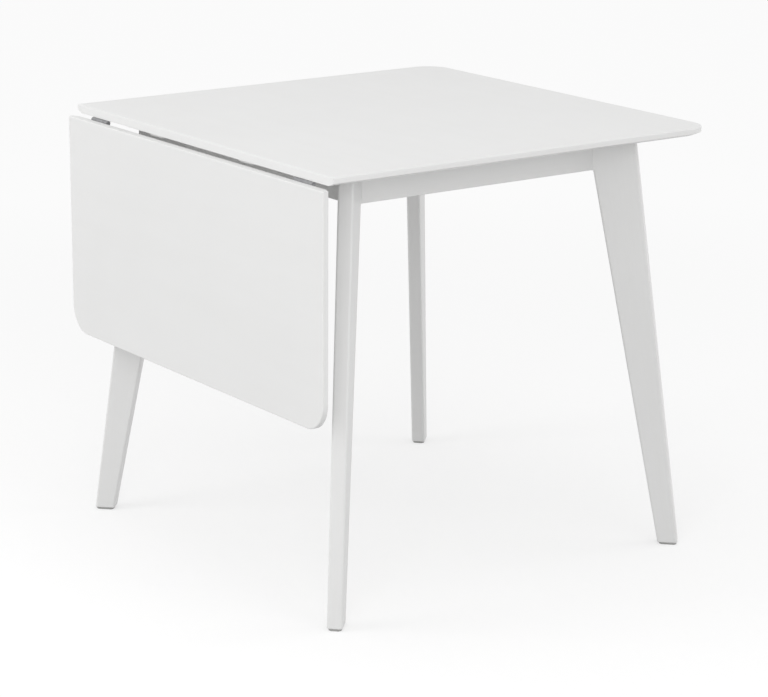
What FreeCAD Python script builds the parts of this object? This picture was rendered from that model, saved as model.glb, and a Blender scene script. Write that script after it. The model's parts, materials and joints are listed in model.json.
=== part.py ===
import FreeCAD, Part
import math
import os
import Sketcher

# Drop-leaf dining table: one fixed top, one hanging leaf, blade legs on the diagonals.
# Frame: origin on the floor under the middle of the table with its leaf down, +Z up,
# +Y along the hinge line, leaf on the -X side.

SIZES = {
    # Boards: fixed top and drop leaf
    "top_length": 800,
    "top_width": 800,
    "top_height": 760,
    "slab": 15,
    "leaf_length": 395,
    "seam": 0.5,
    "corner_radius": 48,
    "bevel_run": 14,
    "bevel_height": 5.5,
    "edge_round": 2,
    # Base: distances from its centre to the feet and to the rails' outer faces
    "base_shift": 10,
    "foot_x": 365,
    "foot_y": 374,
    "rail_x": 265,
    "rail_y": 274,
    "rail_thick": 22,
    "rail_height": 65.5,
    "rail_round": 2,
    # Blade legs: reach from the foot's centre, and lean per unit of height
    "leg_thick": 26,
    "leg_round": 4,
    "foot_outer": 17.8,
    "foot_inner": 17.8,
    "lean_outer": 0.134,
    "lean_inner": 0.199,
    "tongue": 191,
    "foot_chamfer": 2,
    # Glides stuck under the feet, with cut corners
    "glide_length": 31,
    "glide_width": 21.5,
    "glide_height": 3,
    "glide_corner": 4,
    # Corner blocks and the bolts that draw the legs in
    "block_depth": 40,
    "block_height": 46,
    "block_screw_in": 226,
    "block_screw_out": 37,
    "bolt_radius": 4,
    "bolt_grip": 45,
    "bolt_tail": 12,
    "washer_radius": 9,
    "washer_thick": 1.6,
    "nut_radius": 7.5,
    "nut_height": 6.5,
    # Hinges: axis under the boards, plates on their undersides
    "hinge_drop": 4.5,
    "hinge_inset": 81,
    "hinge_width": 53,
    "plate_reach": 38,
    "plate_thick": 2,
    "plate_corner": 6,
    "plate_screw_near": 16,
    "plate_screw_far": 30,
    "plate_screw_side": 17,
    "knuckle_radius": 4,
    "knuckle_middle": 25,
    "knuckle_gap": 0.4,
    "pin_radius": 2,
    "pin_length": 55,
    # Support bars and their guide straps
    "bar_y": 140,
    "bar_width": 50,
    "bar_thick": 3.5,
    "bar_gap": 0.4,
    "bar_length": 346,
    "bar_setback": 5,
    "bar_corner": 10,
    "finger_radius": 11,
    "finger_inset": 24,
    "stop_drop": 12,
    "stop_thick": 3,
    "slide_gap": 0.5,
    "strap_thick": 1.5,
    "strap_flange": 14,
    "strap_length": 26,
    "strap_inset": 40,
    # Angle brackets under the top
    "bracket_leg": 25,
    "bracket_thick": 2,
    "bracket_width": 18,
    "bracket_hole": 15,
    # Screws and fits
    "screw_radius": 1.5,
    "screw_length": 11,
    "screw_head": 3,
    "head_height": 1.6,
    "long_radius": 2,
    "long_length": 28,
    "long_head": 3.8,
    "pilot_depth": 10,
    "long_pilot": 18,
    "fit": 0.05,
    "loose": 0.3,
    "spare": 1,
}

doc = FreeCAD.newDocument("DropLeafTable")
sheet = doc.addObject("Spreadsheet::Sheet", "Sizes")
for row, (alias, number) in enumerate(SIZES.items(), 1):
    sheet.set(f"A{row}", alias)
    sheet.set(f"B{row}", str(number))
    sheet.setAlias(f"B{row}", alias)
doc.recompute()

# Places worked out from the sheet
JOINT_X = "(-(Sizes.top_length - Sizes.hinge_drop - Sizes.slab) / 2)"
BASE_X = f"({JOINT_X} + Sizes.top_length / 2 - Sizes.base_shift)"
UNDERSIDE = "(Sizes.top_height - Sizes.slab)"
AXIS_Z = f"({UNDERSIDE} - Sizes.hinge_drop)"
HINGE_Y = "(Sizes.top_width / 2 - Sizes.hinge_inset)"
RAIL_BOTTOM = f"({UNDERSIDE} - Sizes.rail_height)"
RAIL_MIDDLE = f"({UNDERSIDE} - Sizes.rail_height / 2)"
PILOT = "(Sizes.screw_radius + Sizes.fit)"

# Turns that set a piece down in the table's frame
UPRIGHT = FreeCAD.Rotation()
HANGING = FreeCAD.Rotation(FreeCAD.Vector(1, 0, -1), 180)
CORNERS = {
    "hinge_front": (-1, -1),
    "hinge_back": (-1, 1),
    "far_front": (1, -1),
    "far_back": (1, 1),
}
SIDES = {"front": -1, "back": 1}
ENDS = (-1, 1)
NUT_SIDES = 6
# Screws have six flat sides, and their holes have room for any turn of the screw
SCREW_SIDES = 6
CORNER_REACH = round(1 / math.cos(math.pi / SCREW_SIDES), 4)
# Tolerances when edges are picked by their boxes, and for a cut that removes nothing
FLAT = 0.01
NO_VOLUME = 1
# Points of a sketched line or circle, and the sketch's own origin
START, END, CENTRE = 1, 2, 3
ORIGIN = (-1, START)
CUBIC_MM_PER_CM = 1000
nodes = []


def node(item, label):
    """Give a finished sub-part the name of its file."""
    item.Label = label
    nodes.append(item)
    return item


def turn_z(degrees):
    return FreeCAD.Rotation(FreeCAD.Vector(0, 0, 1), degrees)


def point_along(x, y, z):
    """Turn that points a piece's own +Z along a direction."""
    return FreeCAD.Rotation(FreeCAD.Vector(0, 0, 1), FreeCAD.Vector(x, y, z))


def place(item, x="0", y="0", z="0", rotation=UPRIGHT):
    item.Placement = FreeCAD.Placement(FreeCAD.Vector(), rotation)
    for axis, expression in zip("xyz", (x, y, z)):
        item.setExpression(f"Placement.Base.{axis}", expression)


def new_body(name):
    return doc.addObject("PartDesign::Body", name)


def sketch_on(body, role, name, lift="0"):
    """Sketch on one of the body's own origin planes, lifted along that plane's normal."""
    plane = next(feature for feature in body.Origin.OriginFeatures if feature.Role == role)
    sketch = body.newObject("Sketcher::SketchObject", name)
    sketch.AttachmentSupport = (plane, "")
    sketch.MapMode = "FlatFace"
    sketch.setExpression("AttachmentOffset.Base.z", lift)
    return sketch


def hold(sketch, kind, geometry, point, expression):
    """Driving distance from the sketch's origin to a point, bound to the sheet."""
    spot = sketch.getPoint(geometry, point)
    drawn = spot.x if kind == "DistanceX" else spot.y
    index = sketch.addConstraint(Sketcher.Constraint(kind, *ORIGIN, geometry, point, drawn))
    sketch.setExpression(f"Constraints[{index}]", expression)


def polygon(sketch, corners):
    """Closed outline of straight lines whose corners are held by expressions."""
    count = len(corners)
    first = sketch.GeometryCount
    ring = [2 * math.pi * step / count for step in range(count + 1)]
    spots = [FreeCAD.Vector(math.cos(angle), math.sin(angle), 0) for angle in ring]
    for start, end in zip(spots, spots[1:]):
        sketch.addGeometry(Part.LineSegment(start, end), False)
    for step, (x, y) in enumerate(corners):
        following = first + (step + 1) % count
        sketch.addConstraint(Sketcher.Constraint("Coincident", first + step, END, following, START))
        hold(sketch, "DistanceX", first + step, START, x)
        hold(sketch, "DistanceY", first + step, START, y)


def rectangle(sketch, x_low, x_high, y_low, y_high):
    polygon(sketch, [(x_low, y_low), (x_high, y_low), (x_high, y_high), (x_low, y_high)])


def circle(sketch, x, y, radius):
    geometry = sketch.addGeometry(Part.Circle(FreeCAD.Vector(1, 1, 0), FreeCAD.Vector(0, 0, 1), 1), False)
    hold(sketch, "DistanceX", geometry, CENTRE, x)
    hold(sketch, "DistanceY", geometry, CENTRE, y)
    index = sketch.addConstraint(Sketcher.Constraint("Radius", geometry, 1.0))
    sketch.setExpression(f"Constraints[{index}]", radius)


def pad(body, sketch, length, symmetric=False, reverse=False):
    feature = body.newObject("PartDesign::Pad", "Pad")
    feature.Profile = sketch
    feature.setExpression("Length", length)
    feature.SideType = "Symmetric" if symmetric else "One side"
    feature.Reversed = reverse
    doc.recompute()
    return feature


def pocket(body, sketch, depth=None):
    """Cut a sketch to a depth, or right through both ways, and check that it removed material."""
    before = body.Shape.Volume
    feature = body.newObject("PartDesign::Pocket", "Pocket")
    feature.Profile = sketch
    if depth is None:
        feature.Type = "ThroughAll"
        feature.SideType = "Symmetric"
    else:
        feature.setExpression("Length", depth)
    doc.recompute()
    if body.Shape.Volume > before - NO_VOLUME:
        raise RuntimeError(f"{sketch.Name} cuts nothing")
    return feature


def drill(body, radius, depth, x, y, z, direction):
    """Round hole from a point along a direction."""
    hole = body.newObject("PartDesign::SubtractiveCylinder", "Drill")
    hole.setExpression("Radius", radius)
    hole.setExpression("Height", depth)
    place(hole, x, y, z, point_along(*direction))
    doc.recompute()


def screw_hole(body, radius, depth, x, y, z, direction):
    """Six-sided hole from a point along a direction, by the radius that passes through it."""
    hole = body.newObject("PartDesign::SubtractivePrism", "Screw_hole")
    hole.Polygon = SCREW_SIDES
    hole.setExpression("Circumradius", f"({radius}) * {CORNER_REACH}")
    hole.setExpression("Height", depth)
    place(hole, x, y, z, point_along(*direction))
    doc.recompute()


def edges_where(feature, test):
    boxes = [edge.BoundBox for edge in feature.Shape.Edges]
    return [f"Edge{index}" for index, box in enumerate(boxes, 1) if test(box)]


def fillet(body, base, edges, radius):
    feature = body.newObject("PartDesign::Fillet", "Fillet")
    feature.Base = (base, edges)
    feature.setExpression("Radius", radius)
    doc.recompute()
    return feature


def chamfer(body, base, edges, size):
    feature = body.newObject("PartDesign::Chamfer", "Chamfer")
    feature.Base = (base, edges)
    feature.setExpression("Size", size)
    doc.recompute()
    return feature


def group(label, master, places):
    """One node of identical separate solids: links to a master, each with its own place."""
    links = []
    for x, y, z, rotation in places:
        link = doc.addObject("App::Link", f"{label}_copy")
        link.LinkedObject = master
        place(link, x, y, z, rotation)
        links.append(link)
    compound = doc.addObject("Part::Compound", label)
    compound.Links = links
    return node(compound, label)


def rounded_outline(sketch, start, length, inset):
    """Board outline, drawn in from its free sides: square joint edge, round outer corners."""
    end = f"({start} + {length} - {inset})"
    half = f"(Sizes.top_width / 2 - {inset})"
    radius = f"(Sizes.corner_radius - {inset})"
    runs = [
        [(start, half), (start, f"-{half}")],
        [(start, f"-{half}"), (f"{end} - {radius}", f"-{half}")],
        [(end, f"-{half} + {radius}"), (end, f"{half} - {radius}")],
        [(f"{end} - {radius}", half), (start, half)],
    ]
    joint, front, far, back = range(len(runs))
    for run, ends in enumerate(runs):
        sketch.addGeometry(Part.LineSegment(FreeCAD.Vector(), FreeCAD.Vector(1, 1, 0)), False)
        for point, (x, y) in zip((START, END), ends):
            hold(sketch, "DistanceX", run, point, x)
            hold(sketch, "DistanceY", run, point, y)
    doc.recompute()
    for before, after in ((front, far), (far, back)):
        leave = sketch.Geometry[before].EndPoint
        arrive = sketch.Geometry[after].StartPoint
        centre = FreeCAD.Vector(min(leave.x, arrive.x), min(leave.y, arrive.y, key=abs), 0)
        turn = Part.Circle(centre, FreeCAD.Vector(0, 0, 1), leave.distanceToPoint(centre))
        bend = Part.ArcOfCircle(turn, turn.parameter(leave), turn.parameter(arrive))
        arc = sketch.addGeometry(bend, False)
        sketch.addConstraint(Sketcher.Constraint("Tangent", before, END, arc, START))
        sketch.addConstraint(Sketcher.Constraint("Coincident", arc, END, after, START))
    doc.recompute()


def board(label, start, length, lift, pilots):
    """Board with a square joint edge, round outer corners and a bevel under its three free sides."""
    body = new_body(label)
    outline = sketch_on(body, "XY_Plane", "Outline", f"{lift} + Sizes.bevel_height")
    rounded_outline(outline, start, length, "0")
    upper = pad(body, outline, "Sizes.slab - Sizes.bevel_height")
    top = upper.Shape.BoundBox.ZMax
    top_edges = edges_where(upper, lambda box: box.ZMin > top - FLAT)
    fillet(body, upper, top_edges, "Sizes.edge_round")
    under = sketch_on(body, "XY_Plane", "Under_outline", lift)
    rounded_outline(under, start, length, "Sizes.bevel_run")
    bevel = body.newObject("PartDesign::AdditiveLoft", "Bevel")
    bevel.Profile = under
    bevel.Sections = [outline]
    bevel.Ruled = True
    doc.recompute()
    for x, y in pilots:
        screw_hole(body, PILOT, "Sizes.pilot_depth", x, y, lift, (0, 0, 1))
    return node(body, label)


# Screw places on one hinge plate, from the hinge's middle on the axis
PLATE_SCREWS = [
    ("Sizes.plate_screw_near", "-Sizes.plate_screw_side"),
    ("Sizes.plate_screw_near", "Sizes.plate_screw_side"),
    ("Sizes.plate_screw_far", "0"),
]
# Screw places on one guide strap, from its middle
STRAP_SCREW_Y = "(Sizes.bar_width / 2 + Sizes.slide_gap + Sizes.strap_thick + Sizes.strap_flange / 2)"
STRAP_SCREWS = [("0", f"{end} * {STRAP_SCREW_Y}") for end in ENDS]
STRAP_X = "(Sizes.strap_inset + Sizes.strap_length / 2)"
# Rails: quarter turns that face them outwards
RAILS = {"front": 0, "far": 90, "back": 180, "hinge": 270}


def rail_faces(side):
    """Base half sizes that a rail lies on and runs along."""
    if side in SIDES:
        return "Sizes.rail_y", "Sizes.foot_x", "-1"
    return "Sizes.rail_x", "Sizes.foot_y", "1"


def rail_point(side, along, inward, z, rotation):
    """World place of a point on a rail, from the middle of its outer face."""
    degrees = RAILS[side]
    out = rail_faces(side)[0]
    cos = round(math.cos(math.radians(degrees)))
    sin = round(math.sin(math.radians(degrees)))
    x = f"{BASE_X} + {cos} * ({along}) + {sin} * ({out} - ({inward}))"
    y = f"{sin} * ({along}) - {cos} * ({out} - ({inward}))"
    return x, y, z, turn_z(degrees).multiply(rotation)


def rail_bracket_places(inward, z, rotation):
    """One bracket in the middle of each rail."""
    return [rail_point(side, "0", inward, z, rotation) for side in RAILS]


def leg_point(corner, along, z, rotation):
    """World place of a point on a leg's middle plane, from its foot's centre outwards."""
    x_sign, y_sign = CORNERS[corner]
    x = f"{BASE_X} + {x_sign} * (Sizes.foot_x + ({along}) / sqrt(2))"
    y = f"{y_sign} * (Sizes.foot_y + ({along}) / sqrt(2))"
    return x, y, z, rotation


def leg_turn(corner):
    x_sign, y_sign = CORNERS[corner]
    return turn_z(math.degrees(math.atan2(y_sign, x_sign)))


# Fixed top: pilot holes for the hinges, the guide straps and the angle brackets
top_pilots = []
for side in SIDES.values():
    for x, y in PLATE_SCREWS:
        top_pilots.append((x, f"{side} * {HINGE_Y} + {y}"))
    for x, y in STRAP_SCREWS:
        top_pilots.append((f"{STRAP_X} + {x}", f"{side} * Sizes.bar_y + {y}"))
for x, y, _, _ in rail_bracket_places("Sizes.rail_thick + Sizes.bracket_hole", UNDERSIDE, UPRIGHT):
    top_pilots.append((f"{x} - {JOINT_X}", y))
tabletop = board("tabletop", "0", "Sizes.top_length", "0", top_pilots)
place(tabletop, JOINT_X, "0", UNDERSIDE)

# Drop leaf, drawn raised about the hinge axis and set down hanging
leaf_pilots = [(x, f"{side} * {HINGE_Y} + {y}") for side in SIDES.values() for x, y in PLATE_SCREWS]
drop_leaf = board("drop_leaf", "Sizes.seam", "Sizes.leaf_length", "Sizes.hinge_drop", leaf_pilots)
place(drop_leaf, JOINT_X, "0", AXIS_Z, HANGING)


def leg(corner):
    """Splayed blade that widens upwards, with a tongue that fits between the rail ends."""
    body = new_body(f"leg_{corner}")
    profile = sketch_on(body, "XZ_Plane", "Blade")
    polygon(profile, [
        ("Sizes.foot_outer - Sizes.lean_outer * Sizes.glide_height", "Sizes.glide_height"),
        (f"Sizes.foot_outer - Sizes.lean_outer * {UNDERSIDE}", UNDERSIDE),
        ("-Sizes.tongue", UNDERSIDE),
        ("-Sizes.tongue", RAIL_BOTTOM),
        (f"-Sizes.foot_inner - Sizes.lean_inner * {RAIL_BOTTOM}", RAIL_BOTTOM),
        ("-Sizes.foot_inner - Sizes.lean_inner * Sizes.glide_height", "Sizes.glide_height"),
    ])
    blade = pad(body, profile, "Sizes.leg_thick", symmetric=True)
    blade_box = blade.Shape.BoundBox
    long_edges = edges_where(blade, lambda box: box.ZLength > blade_box.Center.z)
    rounded = fillet(body, blade, long_edges, "Sizes.leg_round")
    foot_edges = edges_where(rounded, lambda box: box.ZMax < blade_box.ZMin + FLAT)
    chamfer(body, rounded, foot_edges, "Sizes.foot_chamfer")
    drill(body, "Sizes.bolt_radius + Sizes.fit", "Sizes.bolt_grip + Sizes.spare",
          "-Sizes.tongue", "0", RAIL_MIDDLE, (1, 0, 0))
    place(body, *leg_point(corner, "0", "0", leg_turn(corner)))
    return node(body, f"leg_{corner}")


def foot_glide(corner):
    """Low pad stuck under the foot, a little smaller than its flat end."""
    body = new_body(f"foot_glide_{corner}")
    plan = sketch_on(body, "XY_Plane", "Plan")
    rectangle(plan, "-Sizes.glide_length / 2", "Sizes.glide_length / 2",
              "-Sizes.glide_width / 2", "Sizes.glide_width / 2")
    slab = pad(body, plan, "Sizes.glide_height")
    upright = edges_where(slab, lambda box: box.ZLength > FLAT)
    chamfer(body, slab, upright, "Sizes.glide_corner")
    place(body, *leg_point(corner, "0", "0", leg_turn(corner)))
    return node(body, f"foot_glide_{corner}")


def corner_block(corner):
    """Wedge-shaped block between two rails, behind the leg's tongue."""
    body = new_body(f"corner_block_{corner}")
    narrow = "(Sizes.tongue - (Sizes.foot_y - Sizes.rail_y + Sizes.rail_thick) * sqrt(2))"
    wide = f"({narrow} + Sizes.block_depth)"
    back = "(-Sizes.tongue - Sizes.block_depth)"
    plan = sketch_on(body, "XY_Plane", "Plan", f"{RAIL_MIDDLE} - Sizes.block_height / 2")
    polygon(plan, [
        ("-Sizes.tongue", f"-{narrow}"),
        ("-Sizes.tongue", narrow),
        (back, wide),
        (back, f"-{wide}"),
    ])
    pad(body, plan, "Sizes.block_height")
    drill(body, "Sizes.bolt_radius + Sizes.loose", "Sizes.block_depth", back, "0", RAIL_MIDDLE, (1, 0, 0))
    for sign in ENDS:
        seat = ("-Sizes.block_screw_in", f"{sign} * Sizes.block_screw_out", RAIL_MIDDLE)
        screw_hole(body, "Sizes.long_radius + Sizes.loose", "Sizes.block_depth", *seat, (1, sign, 0))
        screw_hole(body, "Sizes.long_head + Sizes.loose", "Sizes.block_depth", *seat, (-1, -sign, 0))
    place(body, *leg_point(corner, "0", "0", leg_turn(corner)))
    return node(body, f"corner_block_{corner}")


def rail(side):
    """Rail with ends mitred to the blade legs, drawn along X with its inner face at Y = 0."""
    body = new_body(f"rail_{side}")
    out, foot, sign = rail_faces(side)
    inner_half = (f"({out} - Sizes.rail_thick + {sign} * (Sizes.foot_y - Sizes.foot_x)"
                  " - Sizes.leg_thick / sqrt(2))")
    outer_half = f"({inner_half} + Sizes.rail_thick)"
    plan = sketch_on(body, "XY_Plane", "Plan")
    polygon(plan, [
        (f"-{outer_half}", "-Sizes.rail_thick"),
        (outer_half, "-Sizes.rail_thick"),
        (inner_half, "0"),
        (f"-{inner_half}", "0"),
    ])
    blank = pad(body, plan, "Sizes.rail_height")
    lower_edges = edges_where(blank, lambda box: box.ZMax < FLAT and box.YLength < FLAT)
    fillet(body, blank, lower_edges, "Sizes.rail_round")
    if side == "hinge":
        slots = sketch_on(body, "XY_Plane", "Bar_slots", "Sizes.rail_height")
        half_slot = "(Sizes.bar_width / 2 + Sizes.slide_gap)"
        for slot in ENDS:
            middle = f"{slot} * Sizes.bar_y"
            rectangle(slots, f"{middle} - {half_slot}", f"{middle} + {half_slot}",
                      "-Sizes.rail_thick - Sizes.spare", "Sizes.spare")
        pocket(body, slots, "Sizes.bar_gap + Sizes.bar_thick + Sizes.slide_gap")
    block_along = f"({foot} - (Sizes.block_screw_in + Sizes.block_screw_out) / sqrt(2))"
    screw_hole(body, PILOT, "Sizes.pilot_depth", "0", "0",
               "Sizes.rail_height - Sizes.bracket_hole", (0, -1, 0))
    for end in ENDS:
        screw_hole(body, "Sizes.long_radius + Sizes.fit", "Sizes.long_pilot", f"{end} * {block_along}", "0",
                   "Sizes.rail_height / 2", (0, -1, 0))
    place(body, *rail_point(side, "0", "Sizes.rail_thick", RAIL_BOTTOM, UPRIGHT))
    return node(body, f"rail_{side}")


for corner in CORNERS:
    leg(corner)
for side in RAILS:
    rail(side)
for corner in CORNERS:
    corner_block(corner)
for corner in CORNERS:
    foot_glide(corner)


def screw(name, radius, length, head):
    """Six-sided screw pointing up +Z, with its head below Z = 0."""
    shank = doc.addObject("Part::Prism", f"{name}_shank")
    shank.Polygon = SCREW_SIDES
    shank.setExpression("Circumradius", radius)
    shank.setExpression("Height", length)
    cap = doc.addObject("Part::Prism", f"{name}_head")
    cap.Polygon = SCREW_SIDES
    cap.setExpression("Circumradius", head)
    cap.setExpression("Height", "Sizes.head_height")
    place(cap, z="-Sizes.head_height")
    whole = doc.addObject("Part::Fuse", name)
    whole.Base = shank
    whole.Tool = cap
    return whole


short_screw = screw("short_screw", "Sizes.screw_radius", "Sizes.screw_length", "Sizes.screw_head")
long_screw = screw("long_screw", "Sizes.long_radius", "Sizes.long_length", "Sizes.long_head")

# Long screws from each corner block into the two rails beside it
block_along = "(Sizes.block_screw_in + Sizes.block_screw_out) / sqrt(2)"
block_across = "(Sizes.block_screw_in - Sizes.block_screw_out) / sqrt(2)"
block_places = []
for x_sign, y_sign in CORNERS.values():
    block_places.append((f"{BASE_X} + {x_sign} * (Sizes.foot_x - {block_along})",
                         f"{y_sign} * (Sizes.foot_y - {block_across})",
                         RAIL_MIDDLE, point_along(0, y_sign, 0)))
    block_places.append((f"{BASE_X} + {x_sign} * (Sizes.foot_x - {block_across})",
                         f"{y_sign} * (Sizes.foot_y - {block_along})",
                         RAIL_MIDDLE, point_along(x_sign, 0, 0)))
group("block_screws", long_screw, block_places)

# Hanger bolts from the legs' tongues through the blocks, with washers and nuts
bolt = doc.addObject("Part::Cylinder", "bolt")
bolt.setExpression("Radius", "Sizes.bolt_radius")
bolt.setExpression("Height", "Sizes.bolt_grip + Sizes.block_depth + Sizes.bolt_tail")

bolt_hole = doc.addObject("Part::Cylinder", "bolt_hole")
bolt_hole.setExpression("Radius", "Sizes.bolt_radius + Sizes.fit")
bolt_hole.setExpression("Height", "Sizes.bolt_tail")

washer_disc = doc.addObject("Part::Cylinder", "washer_disc")
washer_disc.setExpression("Radius", "Sizes.washer_radius")
washer_disc.setExpression("Height", "Sizes.washer_thick")
washer = doc.addObject("Part::Cut", "washer")
washer.Base = washer_disc
washer.Tool = bolt_hole

nut_blank = doc.addObject("Part::Prism", "nut_blank")
nut_blank.Polygon = NUT_SIDES
nut_blank.setExpression("Circumradius", "Sizes.nut_radius")
nut_blank.setExpression("Height", "Sizes.nut_height")
nut = doc.addObject("Part::Cut", "nut")
nut.Base = nut_blank
nut.Tool = bolt_hole


def bolt_places(along):
    places = []
    for corner, (x_sign, y_sign) in CORNERS.items():
        places.append(leg_point(corner, along, RAIL_MIDDLE, point_along(-x_sign, -y_sign, 0)))
    return places


BLOCK_BACK = "-Sizes.tongue - Sizes.block_depth"
group("leg_bolts", bolt, bolt_places("-Sizes.tongue + Sizes.bolt_grip"))
group("leg_washers", washer, bolt_places(BLOCK_BACK))
group("leg_nuts", nut, bolt_places(f"{BLOCK_BACK} - Sizes.washer_thick"))

# Angle brackets between the rails' inner faces and the top
bracket = new_body("bracket")
bracket_profile = sketch_on(bracket, "YZ_Plane", "Angle")
polygon(bracket_profile, [
    ("0", "0"),
    ("Sizes.bracket_leg", "0"),
    ("Sizes.bracket_leg", "-Sizes.bracket_thick"),
    ("Sizes.bracket_thick", "-Sizes.bracket_thick"),
    ("Sizes.bracket_thick", "-Sizes.bracket_leg"),
    ("0", "-Sizes.bracket_leg"),
])
pad(bracket, bracket_profile, "Sizes.bracket_width", symmetric=True)
SCREW_CLEAR = "Sizes.screw_radius + Sizes.loose"
screw_hole(bracket, SCREW_CLEAR, "Sizes.bracket_thick",
           "0", "Sizes.bracket_hole", "-Sizes.bracket_thick", (0, 0, 1))
screw_hole(bracket, SCREW_CLEAR, "Sizes.bracket_thick", "0", "0", "-Sizes.bracket_hole", (0, 1, 0))
group("top_brackets", bracket, rail_bracket_places("Sizes.rail_thick", UNDERSIDE, UPRIGHT))

top_bracket_screws = rail_bracket_places(
    "Sizes.rail_thick + Sizes.bracket_hole", f"{UNDERSIDE} - Sizes.bracket_thick", UPRIGHT
)
rail_bracket_screws = rail_bracket_places(
    "Sizes.rail_thick + Sizes.bracket_thick", f"{UNDERSIDE} - Sizes.bracket_hole", point_along(0, -1, 0)
)
group("bracket_screws", short_screw, top_bracket_screws + rail_bracket_screws)


def hinge_plate(label, on_leaf, side):
    """Hinge half with the axis along its own Y: plate on +X, knuckles cut for the other half."""
    body = new_body(label)
    half_width = "Sizes.hinge_width / 2"
    flat = sketch_on(body, "XY_Plane", "Flat", "Sizes.hinge_drop - Sizes.plate_thick")
    rectangle(flat, "Sizes.seam", "Sizes.plate_reach", f"-{half_width}", half_width)
    blank = pad(body, flat, "Sizes.plate_thick")
    middle = blank.Shape.BoundBox.Center
    outer_corners = edges_where(blank, lambda box: box.ZLength > FLAT and box.XMin > middle.x)
    chamfer(body, blank, outer_corners, "Sizes.plate_corner")
    barrel = sketch_on(body, "XZ_Plane", "Barrel")
    circle(barrel, "0", "0", "Sizes.knuckle_radius")
    pad(body, barrel, "Sizes.hinge_width", symmetric=True)
    reach = "(Sizes.knuckle_radius + Sizes.loose)"
    gaps = sketch_on(body, "XY_Plane", "Knuckle_gaps")
    if on_leaf:
        for end in ENDS:
            rectangle(gaps, f"-{reach}", reach,
                      f"{end} * Sizes.knuckle_middle / 2", f"{end} * Sizes.hinge_width")
    else:
        half_gap = "(Sizes.knuckle_middle / 2 + Sizes.knuckle_gap)"
        rectangle(gaps, f"-{reach}", reach, f"-{half_gap}", half_gap)
    pocket(body, gaps)
    bore = sketch_on(body, "XZ_Plane", "Pin_bore")
    circle(bore, "0", "0", "Sizes.pin_radius + Sizes.fit")
    pocket(body, bore)
    for x, y in PLATE_SCREWS:
        screw_hole(body, SCREW_CLEAR, "Sizes.plate_thick", x, y,
                   "Sizes.hinge_drop - Sizes.plate_thick", (0, 0, 1))
    rotation = HANGING if on_leaf else UPRIGHT
    place(body, JOINT_X, f"{side} * {HINGE_Y}", AXIS_Z, rotation)
    return node(body, label)


for name, side in SIDES.items():
    hinge_plate(f"hinge_table_plate_{name}", False, side)
    hinge_plate(f"hinge_leaf_plate_{name}", True, side)
    pin = doc.addObject("Part::Cylinder", f"hinge_pin_{name}")
    pin.setExpression("Radius", "Sizes.pin_radius")
    pin.setExpression("Height", "Sizes.pin_length")
    place(pin, JOINT_X, f"{side} * {HINGE_Y} - Sizes.pin_length / 2", AXIS_Z, point_along(0, 1, 0))
    node(pin, f"hinge_pin_{name}")

# Hinge screws up into the top, and into the leaf as it hangs
plate_face = "(Sizes.hinge_drop - Sizes.plate_thick)"
table_screw_places = []
leaf_screw_places = []
for side in SIDES.values():
    for x, y in PLATE_SCREWS:
        table_screw_places.append((f"{JOINT_X} + {x}", f"{side} * {HINGE_Y} + {y}",
                                   f"{AXIS_Z} + {plate_face}", UPRIGHT))
        leaf_screw_places.append((f"{JOINT_X} - {plate_face}", f"{side} * {HINGE_Y} - ({y})",
                                  f"{AXIS_Z} - {x}", HANGING))
group("hinge_screws_table", short_screw, table_screw_places)
group("hinge_screws_leaf", short_screw, leaf_screw_places)


def support_bar(label, side):
    """Flat bar under the top with a finger hole outside and a turned-down stop inside."""
    body = new_body(label)
    half_width = "Sizes.bar_width / 2"
    bottom = "(-Sizes.bar_gap - Sizes.bar_thick)"
    inner_end = "(Sizes.bar_setback + Sizes.bar_length)"
    flat = sketch_on(body, "XY_Plane", "Flat", bottom)
    rectangle(flat, "Sizes.bar_setback", inner_end, f"-{half_width}", half_width)
    blank = pad(body, flat, "Sizes.bar_thick")
    middle = blank.Shape.BoundBox.Center
    outer_corners = edges_where(blank, lambda box: box.ZLength > FLAT and box.XMax < middle.x)
    fillet(body, blank, outer_corners, "Sizes.bar_corner")
    stop = sketch_on(body, "XY_Plane", "Stop", bottom)
    rectangle(stop, f"{inner_end} - Sizes.stop_thick", inner_end, f"-{half_width}", half_width)
    pad(body, stop, "Sizes.stop_drop", reverse=True)
    finger = sketch_on(body, "XY_Plane", "Finger_hole")
    circle(finger, "Sizes.bar_setback + Sizes.finger_inset", "0", "Sizes.finger_radius")
    pocket(body, finger)
    place(body, JOINT_X, f"{side} * Sizes.bar_y", UNDERSIDE)
    return node(body, label)


def support_guide(label, side):
    """Strap that holds a bar up against the top, with a flange each side."""
    body = new_body(label)
    inner = "(Sizes.bar_width / 2 + Sizes.slide_gap)"
    outer = f"({inner} + Sizes.strap_thick)"
    flange = f"({outer} + Sizes.strap_flange)"
    inner_drop = "(Sizes.bar_gap + Sizes.bar_thick + Sizes.slide_gap)"
    outer_drop = f"({inner_drop} + Sizes.strap_thick)"
    profile = sketch_on(body, "YZ_Plane", "Strap")
    polygon(profile, [
        (flange, "0"),
        (flange, "-Sizes.strap_thick"),
        (outer, "-Sizes.strap_thick"),
        (outer, f"-{outer_drop}"),
        (f"-{outer}", f"-{outer_drop}"),
        (f"-{outer}", "-Sizes.strap_thick"),
        (f"-{flange}", "-Sizes.strap_thick"),
        (f"-{flange}", "0"),
        (f"-{inner}", "0"),
        (f"-{inner}", f"-{inner_drop}"),
        (inner, f"-{inner_drop}"),
        (inner, "0"),
    ])
    pad(body, profile, "Sizes.strap_length", symmetric=True)
    for x, y in STRAP_SCREWS:
        screw_hole(body, SCREW_CLEAR, "Sizes.strap_thick", x, y, "-Sizes.strap_thick", (0, 0, 1))
    place(body, f"{JOINT_X} + {STRAP_X}", f"{side} * Sizes.bar_y", UNDERSIDE)
    return node(body, label)


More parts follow.
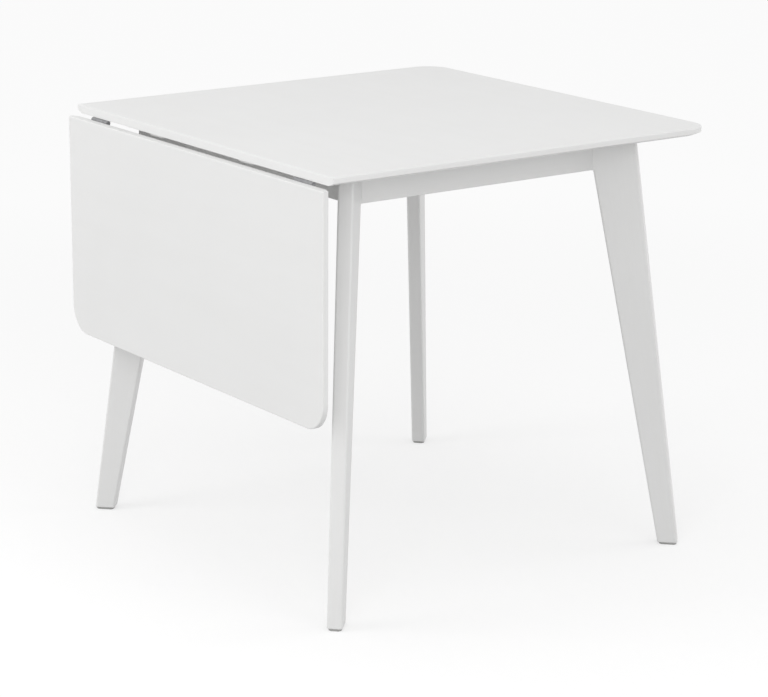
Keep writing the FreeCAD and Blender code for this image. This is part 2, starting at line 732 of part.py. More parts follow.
for name, side in SIDES.items():
    support_bar(f"support_bar_{name}", side)
    support_guide(f"support_guide_{name}", side)
guide_screw_places = []
for side in SIDES.values():
    for x, y in STRAP_SCREWS:
        guide_screw_places.append((f"{JOINT_X} + {STRAP_X} + {x}", f"{side} * Sizes.bar_y + {y}",
                                   f"{UNDERSIDE} - Sizes.strap_thick", UPRIGHT))
group("guide_screws", short_screw, guide_screw_places)

doc.recompute()

for item in doc.Objects:
    if "Invalid" in item.State or "Error" in item.State:
        raise RuntimeError(f"{item.Label} failed to build")
for item in nodes:
    if item.Shape.isNull() or not item.Shape.isValid():
        raise RuntimeError(f"{item.Label} has no valid shape")

os.makedirs("parts", exist_ok=True)
for item in nodes:
    item.Shape.exportStep(f"parts/{item.Label}.step")
    box = item.Shape.BoundBox
    volume = item.Shape.Volume / CUBIC_MM_PER_CM
    print(f"{item.Label}: {len(item.Shape.Solids)} solids, {volume:.1f} cm3, "
          f"{box.XLength:.1f} x {box.YLength:.1f} x {box.ZLength:.1f} mm")
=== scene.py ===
import json
import math
from collections import namedtuple

import bmesh
import bpy
from mathutils import Matrix, Vector


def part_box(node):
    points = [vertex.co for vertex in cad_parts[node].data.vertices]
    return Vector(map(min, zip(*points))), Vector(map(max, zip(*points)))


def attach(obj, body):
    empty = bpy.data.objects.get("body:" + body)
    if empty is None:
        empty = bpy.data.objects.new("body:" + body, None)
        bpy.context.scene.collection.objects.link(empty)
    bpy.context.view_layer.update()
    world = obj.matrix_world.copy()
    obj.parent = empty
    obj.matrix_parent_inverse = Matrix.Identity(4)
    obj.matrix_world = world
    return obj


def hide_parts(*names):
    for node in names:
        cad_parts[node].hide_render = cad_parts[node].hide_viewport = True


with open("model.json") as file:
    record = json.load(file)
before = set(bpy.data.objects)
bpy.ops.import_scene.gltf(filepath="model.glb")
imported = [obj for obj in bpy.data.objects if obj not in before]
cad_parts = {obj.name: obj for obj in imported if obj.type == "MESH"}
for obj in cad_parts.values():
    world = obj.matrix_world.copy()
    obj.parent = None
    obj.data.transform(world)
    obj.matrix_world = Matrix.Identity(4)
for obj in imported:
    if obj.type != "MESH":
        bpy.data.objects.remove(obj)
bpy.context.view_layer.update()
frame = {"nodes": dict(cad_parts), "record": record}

NODES = frame["nodes"]
BODIES = frame["record"]["behaviour"]["bodies"]
SLOTS = {part["node"]: part["material_slot"] for part in frame["record"]["subparts"]}
MM = 0.001
WHITE = (1.0, 1.0, 1.0)

# Camera, solved from the photo's edges: place in metres, angles in degrees
CAMERA_PLACE = (-2.6659, -3.65068, 1.57366)
CAMERA_YAW = 36.1502
CAMERA_PITCH = 15.3247
CAMERA_ROLL = 0.4175
FOCAL_PIXELS = 2602.32
IMAGE_WIDTH = 768
SENSOR_MM = 36.0

# Lamps: place and target in metres, side of the square in metres, level of its surface
LAMPS = {
    "overhead": ((-0.2, -0.3, 2.8), (0.0, 0.0, 0.7), 2.0, 0.45),
    "left": ((-2.5, 1.0, 1.3), (-0.2, 0.0, 0.6), 1.4, 2.85),
    "front_left": ((-1.8, -2.0, 1.25), (0.0, 0.0, 0.6), 1.2, 3.2),
    "front": ((0.0, -2.2, 1.2), (0.0, 0.0, 0.6), 1.2, 0.7),
    "right": ((2.2, -1.2, 0.9), (0.0, 0.0, 0.6), 1.2, 1.9),
}

# Level of the even light from all round: 1 alone shows a colour as it is written
WORLD_LEVEL = 0.72

# Floor: side in metres, its grey as it throws light back, and its grey as it is seen
FLOOR_SIDE = 60.0
FLOOR_BOUNCE = 0.5
FLOOR_SEEN = 1.0

# Share of plain white in the seen floor: less near the table, where the shadow lies
WHITE_NEAR = 0.55
WHITE_FAR = 0.85
NEAR_REACH = 0.7
FAR_REACH = 3.0

# Grain of each lacquered part: how fast its noise runs along X, Y and Z, slowest along the fibres
BOARD_GRAIN = (26.0, 3.0, 26.0)
RAIL_ALONG_X = (8.0, 260.0, 260.0)
RAIL_ALONG_Y = (260.0, 8.0, 260.0)
LEG_GRAIN = (260.0, 260.0, 8.0)
GRAIN_DEPTH = 0.1

# Rays that soften a sharp edge
BEVEL_SAMPLES = 6

# Meshes: steps round a turn, and the least angle of an edge that stays sharp
LATHE_STEPS = 24
THREAD_STEPS = 16
NUT_STEPS = 48
SHARP_DEGREES = 35

# How close two corners, and the digits to which two levels in metres, count as one
WELD = 0.001 * MM
LEVEL_DIGITS = 6

# Pan head, from its flat to its seat: shares of the head's radius and of its height
PAN_HEAD = [(0.62, -1.0), (0.80, -0.92), (0.93, -0.70), (1.0, -0.35), (1.0, -0.06), (0.97, 0.0)]

# Cross recess: arm and half width as shares of the head's radius, depth of its height, and the
# size of its bottom as a share of its mouth
RECESS_ARM = 0.50
RECESS_HALF_WIDTH = 0.14
RECESS_DEPTH = 0.62
RECESS_TAPER = 0.55

# Screw's shank: root and pitch as shares of its radius, then places along its length
SCREW_ROOT = 0.72
SCREW_PITCH = 0.62
SCREW_NECK = 0.06
SCREW_POINT = 0.80
SCREW_THREAD = (0.12, 0.84)

# Thread: half width as a share of the pitch, foot as a share of the root, and the share of its
# height that is left where it fades out
THREAD_HALF_WIDTH = 0.42
THREAD_FOOT = 0.9
THREAD_LEAST = 0.05

# Hanger bolt: shares of its radius, then places along its length
BOLT_ROOT = 0.88
BOLT_CREST = 0.99
BOLT_COLLAR = 0.97
BOLT_CUT = 0.25
FINE_PITCH = 0.31
COARSE_PITCH = 0.7
FINE_END = 0.42
COLLAR = (0.44, 0.56)
COARSE_ROOT = (0.58, 0.94)
COARSE_THREAD = (0.60, 0.92)

# Start of the bolt's fine thread, as a share of its cut corner
FINE_START = 1.2

# Washer's rolled edge as a share of its thickness
WASHER_ROLL = 0.25

# Nut: its round face as a share of the width over its flats, and the slope of its cone
NUT_FACE = 0.96
NUT_CONE_DEGREES = 30


# Shader helpers

def add_node(tree, kind, **values):
    """New shader node, with its properties and its input sockets set by name."""
    node = tree.nodes.new(kind)
    for name, value in values.items():
        if name in node.inputs:
            node.inputs[name].default_value = value
        else:
            setattr(node, name, value)
    return node


def new_material(name, **values):
    """Material with constant values set straight on the shader's sockets."""
    material = bpy.data.materials.new(name)
    material.use_nodes = True
    tree = material.node_tree
    shader = tree.nodes["Principled BSDF"]
    for socket, value in values.items():
        shader.inputs[socket.replace("_", " ")].default_value = value
    return material, tree, shader


def dress(tree, shader, colour, roughness, normal):
    """Link a look's colour, roughness and surface to its shader."""
    tree.links.new(colour, shader.inputs["Base Color"])
    tree.links.new(roughness, shader.inputs["Roughness"])
    tree.links.new(normal, shader.inputs["Normal"])


def object_space(tree, scale=(1, 1, 1), turn=(0, 0, 0)):
    """Coordinates fixed to the piece, in metres, turned and then stretched."""
    place = add_node(tree, "ShaderNodeTexCoord")
    turned = add_node(tree, "ShaderNodeMapping", Rotation=turn)
    tree.links.new(place.outputs["Object"], turned.inputs["Vector"])
    stretched = add_node(tree, "ShaderNodeMapping", Scale=scale)
    tree.links.new(turned.outputs["Vector"], stretched.inputs["Vector"])
    return stretched.outputs["Vector"]


def noise(tree, vector, scale, detail=2.0, distortion=0.0):
    """Soft noise from 0 to 1."""
    node = add_node(tree, "ShaderNodeTexNoise", Scale=scale, Detail=detail, Distortion=distortion)
    tree.links.new(vector, node.inputs["Vector"])
    return node.outputs["Fac"]


def cells(tree, vector, scale):
    """One random tone for each cell."""
    node = add_node(tree, "ShaderNodeTexVoronoi", Scale=scale)
    tree.links.new(vector, node.inputs["Vector"])
    return node.outputs["Color"]


def rings(tree, vector, scale, distortion, detail_scale):
    """Year rings about the piece's own stretched X axis."""
    node = add_node(tree, "ShaderNodeTexWave", wave_type="RINGS", rings_direction="X")
    node.inputs["Scale"].default_value = scale
    node.inputs["Distortion"].default_value = distortion
    node.inputs["Detail Scale"].default_value = detail_scale
    tree.links.new(vector, node.inputs["Vector"])
    return node.outputs["Fac"]


def ramp(tree, factor, low, high, start=0.3, end=0.7):
    """Colour that runs from low to high as the factor passes from start to end."""
    node = add_node(tree, "ShaderNodeValToRGB")
    first, last = node.color_ramp.elements
    first.position = start
    first.color = (*low, 1)
    last.position = end
    last.color = (*high, 1)
    tree.links.new(factor, node.inputs["Fac"])
    return node.outputs["Color"]


def span(tree, factor, low, high, start=0.0, end=1.0):
    """Number that runs from low to high as the factor passes from start to end."""
    node = add_node(tree, "ShaderNodeMapRange")
    node.inputs["From Min"].default_value = start
    node.inputs["From Max"].default_value = end
    node.inputs["To Min"].default_value = low
    node.inputs["To Max"].default_value = high
    tree.links.new(factor, node.inputs["Value"])
    return node.outputs["Result"]


def veiled(tree, base, veil, share):
    """Base colour multiplied by a share of the veil's colour."""
    node = add_node(tree, "ShaderNodeMix", data_type="RGBA", blend_type="MULTIPLY")
    sockets = {socket.identifier: socket for socket in node.inputs}
    sockets["Factor_Float"].default_value = share
    tree.links.new(base, sockets["A_Color"])
    tree.links.new(veil, sockets["B_Color"])
    return next(socket for socket in node.outputs if socket.identifier == "Result_Color")


def bump(tree, height, strength, distance, below=None):
    """Relief from a height, on top of the relief below it."""
    node = add_node(tree, "ShaderNodeBump", Strength=strength, Distance=distance)
    tree.links.new(height, node.inputs["Height"])
    if below is not None:
        tree.links.new(below, node.inputs["Normal"])
    return node.outputs["Normal"]


def soft_edges(tree, radius):
    """Normals that turn over sharp edges, as a coat of paint does."""
    return add_node(tree, "ShaderNodeBevel", Radius=radius, samples=BEVEL_SAMPLES).outputs["Normal"]


# Materials

def lacquer(name, grain_scale, grain_turn=(0, 0, 0), grain_depth=0.0):
    """Sprayed satin lacquer: faint tone drift, fine orange peel, and grain that shows through."""
    material, tree, shader = new_material(name, Coat_Weight=0.08, Coat_Roughness=0.25)
    place = object_space(tree)
    grain = object_space(tree, grain_scale, grain_turn)
    drift = noise(tree, place, scale=4.0, detail=3.0)
    base = ramp(tree, drift, low=(0.804, 0.804, 0.799), high=(0.818, 0.818, 0.813))
    fibre = noise(tree, grain, scale=1.0, detail=4.0, distortion=0.4)
    veil = ramp(tree, fibre, low=(0.985, 0.983, 0.98), high=WHITE, start=0.3, end=0.6)
    gloss = noise(tree, place, scale=26.0, detail=4.0)
    edge = soft_edges(tree, radius=0.6 * MM)
    grained = bump(tree, fibre, strength=grain_depth, distance=0.3 * MM, below=edge)
    peel = noise(tree, place, scale=620.0)
    dress(
        tree,
        shader,
        colour=veiled(tree, base, veil, share=0.6),
        roughness=span(tree, gloss, low=0.37, high=0.45),
        normal=bump(tree, peel, strength=0.07, distance=0.4 * MM, below=grained),
    )
    return material


def sawn_wood():
    """Unfinished block: year rings, fibres and the tooth marks of the saw."""
    material, tree, shader = new_material("sawn_wood", Specular_IOR_Level=0.3)
    heart = object_space(tree, scale=(1.0, 1.0, 0.35), turn=(0, 0, math.radians(45)))
    year = rings(tree, heart, scale=42.0, distortion=3.5, detail_scale=1.4)
    wood = ramp(tree, year, low=(0.66, 0.49, 0.31), high=(0.50, 0.34, 0.19), start=0.35, end=0.95)
    along = object_space(tree, scale=(900.0, 60.0, 900.0))
    fibre = noise(tree, along, scale=1.0, detail=3.0)
    fleck = ramp(tree, fibre, low=(0.80, 0.76, 0.70), high=WHITE, start=0.25, end=0.6)
    across = object_space(tree, scale=(30.0, 30.0, 420.0))
    marks = noise(tree, across, scale=1.0, detail=2.0)
    sawn = bump(tree, marks, strength=0.2, distance=0.5 * MM)
    dress(
        tree,
        shader,
        colour=veiled(tree, wood, fleck, share=0.75),
        roughness=span(tree, fibre, low=0.62, high=0.85),
        normal=bump(tree, fibre, strength=0.25, distance=0.4 * MM, below=sawn),
    )
    return material


def hinge_metal():
    """Grey satin coat on pressed steel, rubbed paler here and there."""
    material, tree, shader = new_material("hinge_metal", Metallic=0.35)
    place = object_space(tree)
    rub = noise(tree, place, scale=90.0, detail=5.0)
    coat = ramp(tree, rub, low=(0.27, 0.27, 0.28), high=(0.35, 0.35, 0.355), start=0.4, end=0.75)
    gloss = noise(tree, place, scale=240.0, detail=3.0)
    grain = noise(tree, place, scale=1500.0)
    edge = soft_edges(tree, radius=0.3 * MM)
    dress(
        tree,
        shader,
        colour=coat,
        roughness=span(tree, gloss, low=0.32, high=0.5),
        normal=bump(tree, grain, strength=0.12, distance=0.2 * MM, below=edge),
    )
    return material


def powder_coat():
    """White powder coat: pebbled skin, with painted shade in its hollows."""
    material, tree, shader = new_material("powder_coat")
    place = object_space(tree)
    pebble = noise(tree, place, scale=900.0, detail=2.0)
    drift = noise(tree, place, scale=12.0, detail=3.0)
    coat = ramp(tree, drift, low=(0.77, 0.77, 0.76), high=(0.81, 0.81, 0.805))
    # Painted shade: where the pebbles' noise is low, in the hollows of the bump, the coat is
    # darkened
    hollow_shade = ramp(tree, pebble, low=(0.9, 0.9, 0.89), high=WHITE, start=0.3, end=0.55)
    edge = soft_edges(tree, radius=0.5 * MM)
    dress(
        tree,
        shader,
        colour=veiled(tree, coat, hollow_shade, share=0.6),
        roughness=span(tree, pebble, low=0.42, high=0.6),
        normal=bump(tree, pebble, strength=0.3, distance=0.3 * MM, below=edge),
    )
    return material


def zinc():
    """Bright zinc plate: spangled tone, drawn lines and a faint warm and cool drift."""
    material, tree, shader = new_material("zinc", Metallic=1.0)
    place = object_space(tree)
    drift = noise(tree, place, scale=45.0, detail=3.0)
    plate = ramp(tree, drift, low=(0.60, 0.61, 0.63), high=(0.70, 0.69, 0.66))
    crystal = cells(tree, place, scale=420.0)
    spangle = ramp(tree, crystal, low=(0.86, 0.86, 0.86), high=WHITE, start=0.2, end=0.8)
    level = object_space(tree, scale=(150.0, 150.0, 2600.0))
    lines = noise(tree, level, scale=1.0, detail=2.0)
    edge = soft_edges(tree, radius=0.25 * MM)
    dress(
        tree,
        shader,
        colour=veiled(tree, plate, spangle, share=0.8),
        roughness=span(tree, crystal, low=0.26, high=0.42),
        normal=bump(tree, lines, strength=0.08, distance=0.2 * MM, below=edge),
    )
    return material


def moulded_plastic():
    """Grey moulded pad: fine sparked texture and scuffs."""
    material, tree, shader = new_material("moulded_plastic")
    place = object_space(tree)
    scuff = noise(tree, place, scale=160.0, detail=5.0)
    grey = ramp(tree, scuff, low=(0.33, 0.33, 0.32), high=(0.45, 0.45, 0.44), start=0.35, end=0.75)
    spark = noise(tree, place, scale=2200.0)
    edge = soft_edges(tree, radius=0.4 * MM)
    dress(
        tree,
        shader,
        colour=grey,
        roughness=span(tree, scuff, low=0.5, high=0.7),
        normal=bump(tree, spark, strength=0.25, distance=0.15 * MM, below=edge),
    )
    return material


LACQUERED_BOARD = lacquer("lacquer_board", BOARD_GRAIN)
LOOKS = {
    "bare_wood": sawn_wood(),
    "hinge_steel": hinge_metal(),
    "bar_steel": powder_coat(),
    "zinc_steel": zinc(),
    "glide_plastic": moulded_plastic(),
}


def leg_lean(node):
    """Turn about X and Y that sets a leg's grain upright: half the lean of its box's diagonal."""
    low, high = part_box(node)
    middle = (Vector(low) + Vector(high)) / 2
    rise = high[2] - low[2]
    run_x = math.copysign(high[0] - low[0], middle.x)
    run_y = math.copysign(high[1] - low[1], middle.y)
    return (-math.atan2(run_y, rise) / 2, math.atan2(run_x, rise) / 2, 0)


def look_of(node):
    """Material of a CAD node, with the grain of a lacquered part along its length."""
    slot = SLOTS[node]
    if slot != "white_lacquer":
        return LOOKS[slot]
    if node.startswith("leg"):
        return lacquer(f"lacquer_{node}", LEG_GRAIN, leg_lean(node), GRAIN_DEPTH)
    if node in ("rail_front", "rail_back"):
        return lacquer(f"lacquer_{node}", RAIL_ALONG_X, grain_depth=GRAIN_DEPTH)
    if node.startswith("rail"):
        return lacquer(f"lacquer_{node}", RAIL_ALONG_Y, grain_depth=GRAIN_DEPTH)
    return LACQUERED_BOARD


for name, item in NODES.items():
    item.data.materials.clear()
    item.data.materials.append(look_of(name))


# Screws and bolts

# Level of a fastener's corners along its direction, with their least and greatest radius
Step = namedtuple("Step", ["level", "inner", "outer"])


def loose_parts(node):
    """Corner places of each separate solid of a CAD node."""
    mesh = bmesh.new()
    mesh.from_mesh(NODES[node].data)
    bmesh.ops.remove_doubles(mesh, verts=mesh.verts, dist=WELD)
    seen = set()
    parts = []
    for start in mesh.verts:
        if start in seen:
            continue
        seen.add(start)
        wave = [start]
        part = []
        while wave:
            vertex = wave.pop()
            part.append(vertex.co.copy())
            for edge in vertex.link_edges:
                other = edge.other_vert(vertex)
                if other not in seen:
                    seen.add(other)
                    wave.append(other)
        parts.append(part)
    mesh.free()
    return parts


def circle(radius, height, steps):
    """Places round a level circle about Z."""
    angles = [2 * math.pi * step / steps for step in range(steps)]
    return [(radius * math.cos(angle), radius * math.sin(angle), height) for angle in angles]


def lathe(mesh, profile):
    """Rings of a turned form about Z, from (radius, height) pairs. Returns the rings' corners."""
    loops = []
    for radius, height in profile:
        places = circle(radius, height, LATHE_STEPS) if radius > 0 else [(0, 0, height)]
        loops.append([mesh.verts.new(place) for place in places])
    for lower, upper in zip(loops, loops[1:]):
        for step in range(LATHE_STEPS):
            after = (step + 1) % LATHE_STEPS
            corners = [lower[step], lower[after]] if len(lower) > 1 else lower[:]
            corners += [upper[after], upper[step]] if len(upper) > 1 else upper
            mesh.faces.new(corners)
    return loops


def cross_outline(arm, half_width):
    """Twelve corners of a plus sign, anticlockwise."""
    first = [(arm, -half_width), (arm, half_width), (half_width, half_width)]
    corners = []
    for quarter in range(4):
        turn = Matrix.Rotation(quarter * math.pi / 2, 2)
        corners += [turn @ Vector(corner) for corner in first]
    return corners


def cross_recess(mesh, rim, height, depth, arm, half_width):
    """Fill a flat round top with a tapered cross-shaped recess for the driver."""
    mouth = cross_outline(arm, half_width)
    bottom = cross_outline(arm * RECESS_TAPER, half_width * RECESS_TAPER)
    top = [mesh.verts.new((*corner, height)) for corner in mouth]
    floor = [mesh.verts.new((*corner, height + depth)) for corner in bottom]
    count = len(top)
    for step in range(count):
        after = (step + 1) % count
        mesh.faces.new([top[step], top[after], floor[after], floor[step]])
    mesh.faces.new(floor)
    edges = [mesh.edges.get((top[step], top[(step + 1) % count])) for step in range(count)]
    edges += [mesh.edges.get((rim[step], rim[(step + 1) % len(rim)])) for step in range(len(rim))]
    bmesh.ops.triangle_fill(mesh, edges=edges, use_beauty=True)


def thread(mesh, root, crest, pitch, start, end):
    """Closed three-sided ridge wound about Z from start to end, fading in and out over one turn."""
    count = int((end - start) / pitch * THREAD_STEPS)
    half_width = Vector((0, 0, THREAD_HALF_WIDTH * pitch))
    foot = THREAD_FOOT * root
    rows = []
    for step in range(count + 1):
        angle = 2 * math.pi * step / THREAD_STEPS
        height = start + pitch * step / THREAD_STEPS
        fade = min(1.0, step / THREAD_STEPS, (count - step) / THREAD_STEPS)
        reach = foot + (crest - foot) * max(fade, THREAD_LEAST)
        across = Vector((math.cos(angle), math.sin(angle), 0))
        up = Vector((0, 0, height))
        rows.append([
            mesh.verts.new(up + foot * across - half_width),
            mesh.verts.new(up + reach * across),
            mesh.verts.new(up + foot * across + half_width),
        ])
    sides = len(rows[0])
    for below, above in zip(rows, rows[1:]):
        for side in range(sides):
            after = (side + 1) % sides
            mesh.faces.new([below[side], below[after], above[after], above[side]])
    mesh.faces.new(rows[0])
    mesh.faces.new(rows[-1])


def wood_screw(head, head_height, shank, length):
    """Pan-head screw, its tip up +Z and its head below Z = 0."""
    mesh = bmesh.new()
    root = SCREW_ROOT * shank
    profile = [(across * head, along * head_height) for across, along in PAN_HEAD]
    profile += [
        (shank, 0.0),
        (root, SCREW_NECK * length),
        (root, SCREW_POINT * length),
        (0.0, length),
    ]
    rim = lathe(mesh, profile)[0]
    depth = RECESS_DEPTH * head_height
    cross_recess(mesh, rim, -head_height, depth, RECESS_ARM * head, RECESS_HALF_WIDTH * head)
    start, end = SCREW_THREAD
    thread(mesh, root, shank, SCREW_PITCH * shank, start * length, end * length)
    return mesh


def hanger_bolt(radius, length):
    """Headless bolt up +Z: fine thread and cut corner for the nut, coarse thread for the leg."""
    mesh = bmesh.new()
    root = BOLT_ROOT * radius
    crest = BOLT_CREST * radius
    collar = BOLT_COLLAR * radius
    cut = BOLT_CUT * radius
    fine_end = FINE_END * length
    collar_start, collar_end = (share * length for share in COLLAR)
    root_start, root_end = (share * length for share in COARSE_ROOT)
    coarse_start, coarse_end = (share * length for share in COARSE_THREAD)
    lathe(mesh, [
        (0.0, 0.0),
        (root - cut, 0.0),
        (root, cut),
        (root, fine_end),
        (collar, collar_start),
        (collar, collar_end),
        (root, root_start),
        (root, root_end),
        (0.0, length),
    ])
    thread(mesh, root, crest, FINE_PITCH * radius, FINE_START * cut, fine_end)
    thread(mesh, root, crest, COARSE_PITCH * radius, coarse_start, coarse_end)
    return mesh


def ring_form(loops):
    """Skin over loops of equal count, the last joined to the first."""
    mesh = bmesh.new()
    rows = [[mesh.verts.new(place) for place in loop] for loop in loops]
    count = len(rows[0])
    for lower, upper in zip(rows, rows[1:] + rows[:1]):
        for step in range(count):
            after = (step + 1) % count
            mesh.faces.new([lower[step], lower[after], upper[after], upper[step]])
    return mesh


def washer_form(radius, bore, thick):
    """Stamped washer: rolled edge below, sharp edge above."""
    roll = WASHER_ROLL * thick
    return ring_form([
        circle(bore, 0.0, NUT_STEPS),
        circle(radius - roll, 0.0, NUT_STEPS),
        circle(radius, roll, NUT_STEPS),
        circle(radius, thick, NUT_STEPS),
        circle(bore, thick, NUT_STEPS),
    ])


def nut_form(corner, bore, height, turn):
    """Six-sided nut with the corners of both faces turned off to a cone."""
    sixth = math.pi / 3
    flat = corner * math.cos(sixth / 2)
    face = NUT_FACE * flat
    slope = math.tan(math.radians(NUT_CONE_DEGREES))
    lower = []
    upper = []
    for step in range(NUT_STEPS):
        angle = 2 * math.pi * step / NUT_STEPS
        from_flat = (angle - turn) % sixth - sixth / 2
        reach = flat / math.cos(from_flat)
        drop = (reach - face) * slope
        across = (reach * math.cos(angle), reach * math.sin(angle))
        lower.append((*across, drop))
        upper.append((*across, height - drop))
    return ring_form([
        circle(bore, 0.0, NUT_STEPS),
        circle(face, 0.0, NUT_STEPS),
        lower,
        upper,
        circle(face, height, NUT_STEPS),
        circle(bore, height, NUT_STEPS),
    ])


def longest_axis(points):
    """Direction of a screw: the axis of the frame along which it is longest."""
    spans = [max(values) - min(values) for values in zip(*points)]
    direction = Vector((0, 0, 0))
    direction[spans.index(max(spans))] = 1
    return direction


def outward(points):
    """Direction of a leg bolt and its nut: level, out along the table's diagonal."""
    middle = sum(points, Vector()) / len(points)
    return Vector((math.copysign(1, middle.x), math.copysign(1, middle.y), 0)).normalized()


def steps_along(points, direction):
    """Middle of a fastener, and the steps of its corners along a direction."""
    middle = sum(points, Vector()) / len(points)
    levels = {}
    for point in points:
        along = (point - middle).dot(direction)
        radius = (point - middle - along * direction).length
        levels.setdefault(round(along, LEVEL_DIGITS), []).append(radius)
    return middle, [Step(level, min(radii), max(radii)) for level, radii in sorted(levels.items())]


def place_along(form, middle, direction, level):
    """Set a form drawn up +Z along a direction, its foot at a level from the middle."""
    turn = direction.to_track_quat("Z", "Y").to_matrix().to_4x4()
    form.transform(Matrix.Translation(middle + level * direction) @ turn)
    return form


def placed_screw(points):
    """Detailed screw in the place of one plain one, whose head is its shorter part."""
    direction = longest_axis(points)
    middle, (first, seat, last) = steps_along(points, direction)
    if seat.level - first.level > last.level - seat.level:
        direction = -direction
        middle, (first, seat, last) = steps_along(points, direction)
    head_height = seat.level - first.level
    form = wood_screw(first.outer, head_height, last.outer, last.level - seat.level)
    return place_along(form, middle, direction, seat.level)


def placed_bolt(points):
    """Detailed hanger bolt in the place of one plain rod."""
    direction = outward(points)
    middle, steps = steps_along(points, direction)
    tail = steps[0]
    tip = steps[-1]
    form = hanger_bolt(tail.outer, tip.level - tail.level)
    return place_along(form, middle, direction, tail.level)


def placed_washer(points):
    """Detailed washer in the place of one plain ring."""
    direction = outward(points)
    middle, (below, above) = steps_along(points, direction)
    form = washer_form(below.outer, below.inner, above.level - below.level)
    return place_along(form, middle, direction, below.level)


def placed_nut(points):
    """Detailed nut in the place of one plain six-sided one, with its corners where they were."""
    direction = outward(points)
    middle, (below, above) = steps_along(points, direction)
    turn = direction.to_track_quat("Z", "Y").inverted()
    corner = max((turn @ (point - middle) for point in points), key=lambda place: place.xy.length)
    corner_angle = math.atan2(corner.y, corner.x)
    form = nut_form(below.outer, below.inner, above.level - below.level, corner_angle)
    return place_along(form, middle, direction, below.level)


def finish_group(node, forms):
    """Join detailed fasteners into one piece that stands for a CAD node."""
    whole = bmesh.new()
    for form in forms:
        part = bpy.data.meshes.new("part")
        bmesh.ops.recalc_face_normals(form, faces=form.faces)
        form.to_mesh(part)
        form.free()
        whole.from_mesh(part)
        bpy.data.meshes.remove(part)
    data = bpy.data.meshes.new(f"{node}_detailed")
    whole.to_mesh(data)
    whole.free()
    data.shade_smooth()
    data.set_sharp_from_angle(angle=math.radians(SHARP_DEGREES))
    data.materials.append(look_of(node))
    piece = bpy.data.objects.new(f"{node}_detailed", data)
    bpy.context.scene.collection.objects.link(piece)
    body = next(name for name, members in BODIES.items() if node in members)
    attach(piece, body)
    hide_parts(node)


DETAILED = {
    "block_screws": placed_screw,
    "bracket_screws": placed_screw,
    "guide_screws": placed_screw,
    "hinge_screws_table": placed_screw,
    "hinge_screws_leaf": placed_screw,
    "leg_bolts": placed_bolt,
    "leg_washers": placed_washer,
    "leg_nuts": placed_nut,
}
for node, placed in DETAILED.items():
    finish_group(node, [placed(points) for points in loose_parts(node)])


# Studio

def rays_seen(tree):
    """1 for rays that the eye, a gloss or a glass follows, and else 0."""
    path = add_node(tree, "ShaderNodeLightPath")
    first = add_node(tree, "ShaderNodeMath", operation="MAXIMUM")
    tree.links.new(path.outputs["Is Camera Ray"], first.inputs[0])
    tree.links.new(path.outputs["Is Glossy Ray"], first.inputs[1])
    second = add_node(tree, "ShaderNodeMath", operation="MAXIMUM")
    tree.links.new(first.outputs[0], second.inputs[0])
    tree.links.new(path.outputs["Is Transmission Ray"], second.inputs[1])
    return second.outputs[0]


def grey_diffuse(tree, level):
    """Matt grey of one level."""
    return add_node(tree, "ShaderNodeBsdfDiffuse", Color=(level, level, level, 1))


def mixed(tree, share, lower, upper):
    """Shader that turns from lower to upper with a share."""
    node = add_node(tree, "ShaderNodeMixShader")
    tree.links.new(share, node.inputs["Fac"])
    tree.links.new(lower.outputs[0], node.inputs[1])
    tree.links.new(upper.outputs[0], node.inputs[2])
    return node


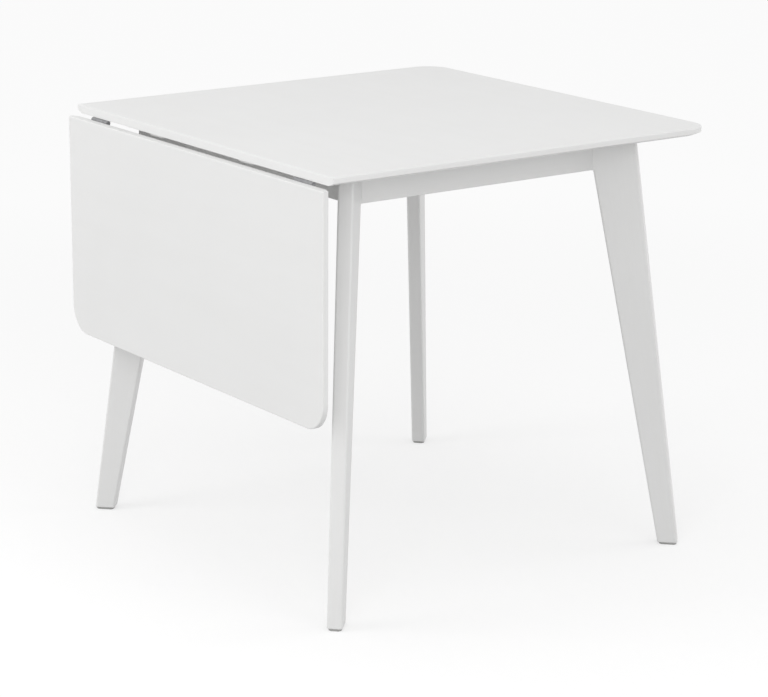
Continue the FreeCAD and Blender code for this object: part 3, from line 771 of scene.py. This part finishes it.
def make_floor():
    """Pale floor, seen nearly white, that takes the shadow and throws back half the light."""
    bpy.ops.mesh.primitive_plane_add(size=FLOOR_SIDE)
    floor = bpy.context.object
    floor.name = "floor"
    material, tree, shader = new_material("floor_white")
    tree.nodes.remove(shader)
    white = add_node(tree, "ShaderNodeEmission", Color=(*WHITE, 1), Strength=1.0)
    distance = add_node(tree, "ShaderNodeVectorMath", operation="LENGTH")
    tree.links.new(object_space(tree), distance.inputs[0])
    share = span(tree, distance.outputs["Value"], WHITE_NEAR, WHITE_FAR, NEAR_REACH, FAR_REACH)
    shown = mixed(tree, share, grey_diffuse(tree, FLOOR_SEEN), white)
    whole = mixed(tree, rays_seen(tree), grey_diffuse(tree, FLOOR_BOUNCE), shown)
    tree.links.new(whole.outputs[0], tree.nodes["Material Output"].inputs["Surface"])
    floor.data.materials.append(material)


def make_world():
    """Even light from all round, seen as white."""
    world = bpy.data.worlds.new("studio")
    bpy.context.scene.world = world
    world.use_nodes = True
    tree = world.node_tree
    light = tree.nodes["Background"]
    light.inputs["Color"].default_value = (*WHITE, 1)
    light.inputs["Strength"].default_value = WORLD_LEVEL
    white = add_node(tree, "ShaderNodeBackground", Color=(*WHITE, 1), Strength=1.0)
    whole = mixed(tree, rays_seen(tree), light, white)
    tree.links.new(whole.outputs[0], tree.nodes["World Output"].inputs["Surface"])


def softbox(name, place, target, size, level):
    """Square lamp whose own surface has the given level, unseen by the camera and in gloss."""
    lamp = bpy.data.lights.new(name, "AREA")
    lamp.shape = "SQUARE"
    lamp.size = size
    lamp.energy = level * math.pi * size * size
    item = bpy.data.objects.new(name, lamp)
    item.location = place
    item.rotation_euler = (Vector(target) - Vector(place)).to_track_quat("-Z", "Y").to_euler()
    item.visible_camera = False
    item.visible_glossy = False
    bpy.context.scene.collection.objects.link(item)


def make_camera():
    """Camera of the photo: yaw from +Y to +X, pitch down from level, roll about its own axis."""
    data = bpy.data.cameras.new("camera")
    data.sensor_width = SENSOR_MM
    data.lens = FOCAL_PIXELS / IMAGE_WIDTH * SENSOR_MM
    camera = bpy.data.objects.new("camera", data)
    yaw = Matrix.Rotation(math.radians(-CAMERA_YAW), 4, "Z")
    pitch = Matrix.Rotation(math.radians(90 - CAMERA_PITCH), 4, "X")
    roll = Matrix.Rotation(math.radians(CAMERA_ROLL), 4, "Z")
    camera.matrix_world = Matrix.Translation(CAMERA_PLACE) @ yaw @ pitch @ roll
    bpy.context.scene.collection.objects.link(camera)
    bpy.context.scene.camera = camera


make_floor()
make_world()
for lamp_name, (place, target, size, level) in LAMPS.items():
    softbox(lamp_name, place, target, size, level)
make_camera()
bpy.context.scene.view_settings.view_transform = "Standard"
